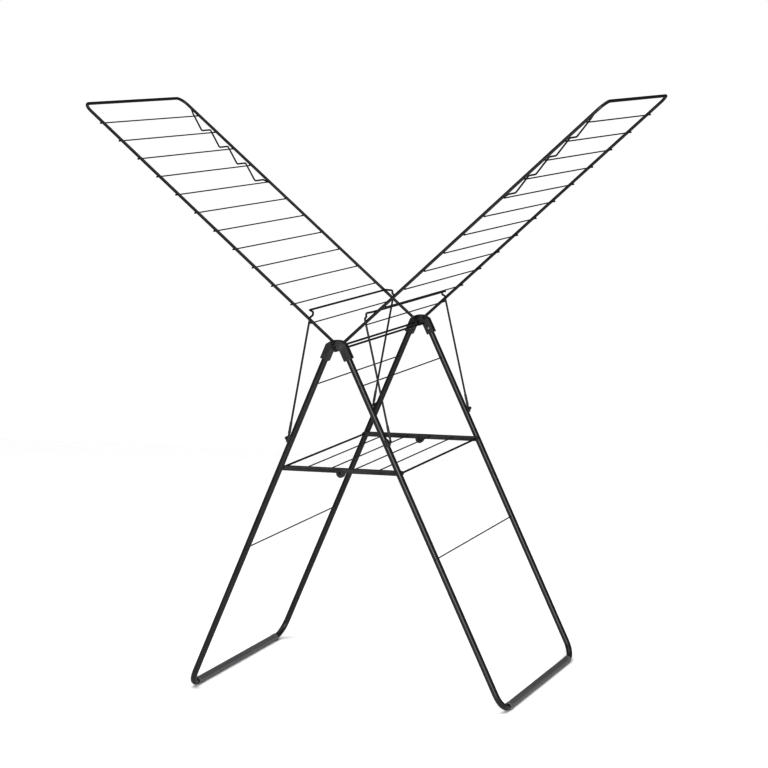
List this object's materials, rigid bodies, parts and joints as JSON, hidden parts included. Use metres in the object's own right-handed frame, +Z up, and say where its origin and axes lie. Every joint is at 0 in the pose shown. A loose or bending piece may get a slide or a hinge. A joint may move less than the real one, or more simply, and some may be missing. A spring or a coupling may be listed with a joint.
{
  "type": "clothes drying rack",
  "caption": "Folding free-standing laundry airer: crossed leg frames, raised wings of wire on bent-wire supports, and a folding wire shelf between the legs.",
  "frame": {"origin": "on the floor under the middle of the airer", "axes": "+Z up, +X towards the right wing, -Y the near side; the wings spread along X"},
  "size_m": [1.4644, 0.666, 1.5915],
  "materials": {
    "coated_tube": "matte black powder coat on round steel tube",
    "coated_wire": "satin black coat on steel wire and rod",
    "black_plastic": "moulded black plastic with a fine matte texture",
    "grey_plastic": "moulded dark grey plastic, slightly soft",
    "rivet_steel": "plain steel rivet head"
  },
  "bodies": {
    "left_leg": {"left_leg_frame": "coated_tube", "left_upper_leg_wire": "coated_wire", "left_lower_leg_wire": "coated_wire", "left_foot_sleeve": "grey_plastic", "left_top_rod": "coated_wire", "left_shelf_rod": "coated_wire", "left_hinge_near": "black_plastic", "left_support_bush_near": "black_plastic", "left_hinge_far": "black_plastic", "left_support_bush_far": "black_plastic", "hinge_pin_near": "rivet_steel", "hinge_pin_far": "rivet_steel"},
    "right_leg": {"right_leg_frame": "coated_tube", "right_upper_leg_wire": "coated_wire", "right_lower_leg_wire": "coated_wire", "right_foot_sleeve": "grey_plastic", "right_top_rod": "coated_wire", "right_hinge_near": "black_plastic", "right_support_bush_near": "black_plastic", "right_hinge_far": "black_plastic", "right_support_bush_far": "black_plastic"},
    "left_wing": {"left_wing_frame": "coated_tube", "left_wing_wire_1": "coated_wire", "left_wing_wire_2": "coated_wire", "left_wing_wire_3": "coated_wire", "left_wing_wire_4": "coated_wire", "left_wing_wire_5": "coated_wire", "left_wing_wire_6": "coated_wire", "left_wing_wire_7": "coated_wire", "left_wing_wire_8": "coated_wire", "left_wing_wire_9": "coated_wire", "left_wing_wire_10": "coated_wire", "left_wing_wire_11": "coated_wire", "left_wing_wire_12": "coated_wire"},
    "right_wing": {"right_wing_frame": "coated_tube", "right_wing_wire_1": "coated_wire", "right_wing_wire_2": "coated_wire", "right_wing_wire_3": "coated_wire", "right_wing_wire_4": "coated_wire", "right_wing_wire_5": "coated_wire", "right_wing_wire_6": "coated_wire", "right_wing_wire_7": "coated_wire", "right_wing_wire_8": "coated_wire", "right_wing_wire_9": "coated_wire", "right_wing_wire_10": "coated_wire", "right_wing_wire_11": "coated_wire", "right_wing_wire_12": "coated_wire"},
    "left_support": {"left_wing_support": "coated_wire"},
    "right_support": {"right_wing_support": "coated_wire"},
    "shelf_left": {"left_shelf_wire_1": "coated_wire", "left_shelf_wire_2": "coated_wire", "left_shelf_bar_near": "black_plastic", "left_shelf_bar_far": "black_plastic", "shelf_knuckle_pin_near": "rivet_steel", "shelf_knuckle_pin_far": "rivet_steel"},
    "shelf_right": {"right_shelf_rod": "coated_wire", "right_shelf_wire_1": "coated_wire", "right_shelf_wire_2": "coated_wire", "right_shelf_bar_near": "black_plastic", "right_shelf_bar_far": "black_plastic"}
  },
  "joints": [
    {"name": "leg_fold", "type": "hinge", "parent": "left_leg", "child": "right_leg", "pos_m": [0, 0, 0.95], "axis": [0, 1, 0], "range_deg": [0, 47]},
    {"name": "shelf_left_fold", "type": "hinge", "parent": "left_leg", "child": "shelf_left", "pos_m": [-0.16926, 0, 0.622], "axis": [0, 1, 0], "range_deg": [-60.9, 0]},
    {"name": "shelf_knuckle", "type": "hinge", "parent": "shelf_left", "child": "shelf_right", "pos_m": [0, 0, 0.6145], "axis": [0, 1, 0], "range_deg": [0, 168.7]},
    {"name": "left_wing_fold", "type": "hinge", "parent": "left_leg", "child": "left_wing", "pos_m": [-0.0143, 0, 0.96252], "axis": [0, -1, 0], "range_deg": [0, 103]},
    {"name": "left_support_swing", "type": "hinge", "parent": "left_leg", "child": "left_support", "pos_m": [-0.1447, 0, 0.70604], "axis": [0, 1, 0], "range_deg": [0, 11.6]},
    {"name": "right_wing_fold", "type": "hinge", "parent": "right_leg", "child": "right_wing", "pos_m": [0.0143, 0, 0.96252], "axis": [0, 1, 0], "range_deg": [0, 103]},
    {"name": "right_support_swing", "type": "hinge", "parent": "right_leg", "child": "right_support", "pos_m": [0.1447, 0, 0.70604], "axis": [0, -1, 0], "range_deg": [0, 11.6]}
  ],
  "couplings": [
    {"joint": "shelf_left_fold", "follows": "leg_fold", "ratio": -1.2925},
    {"joint": "shelf_knuckle", "follows": "leg_fold", "ratio": 3.5849},
    {"joint": "left_support_swing", "follows": "left_wing_fold", "ratio": 0.1117},
    {"joint": "right_support_swing", "follows": "right_wing_fold", "ratio": 0.1117}
  ]
}
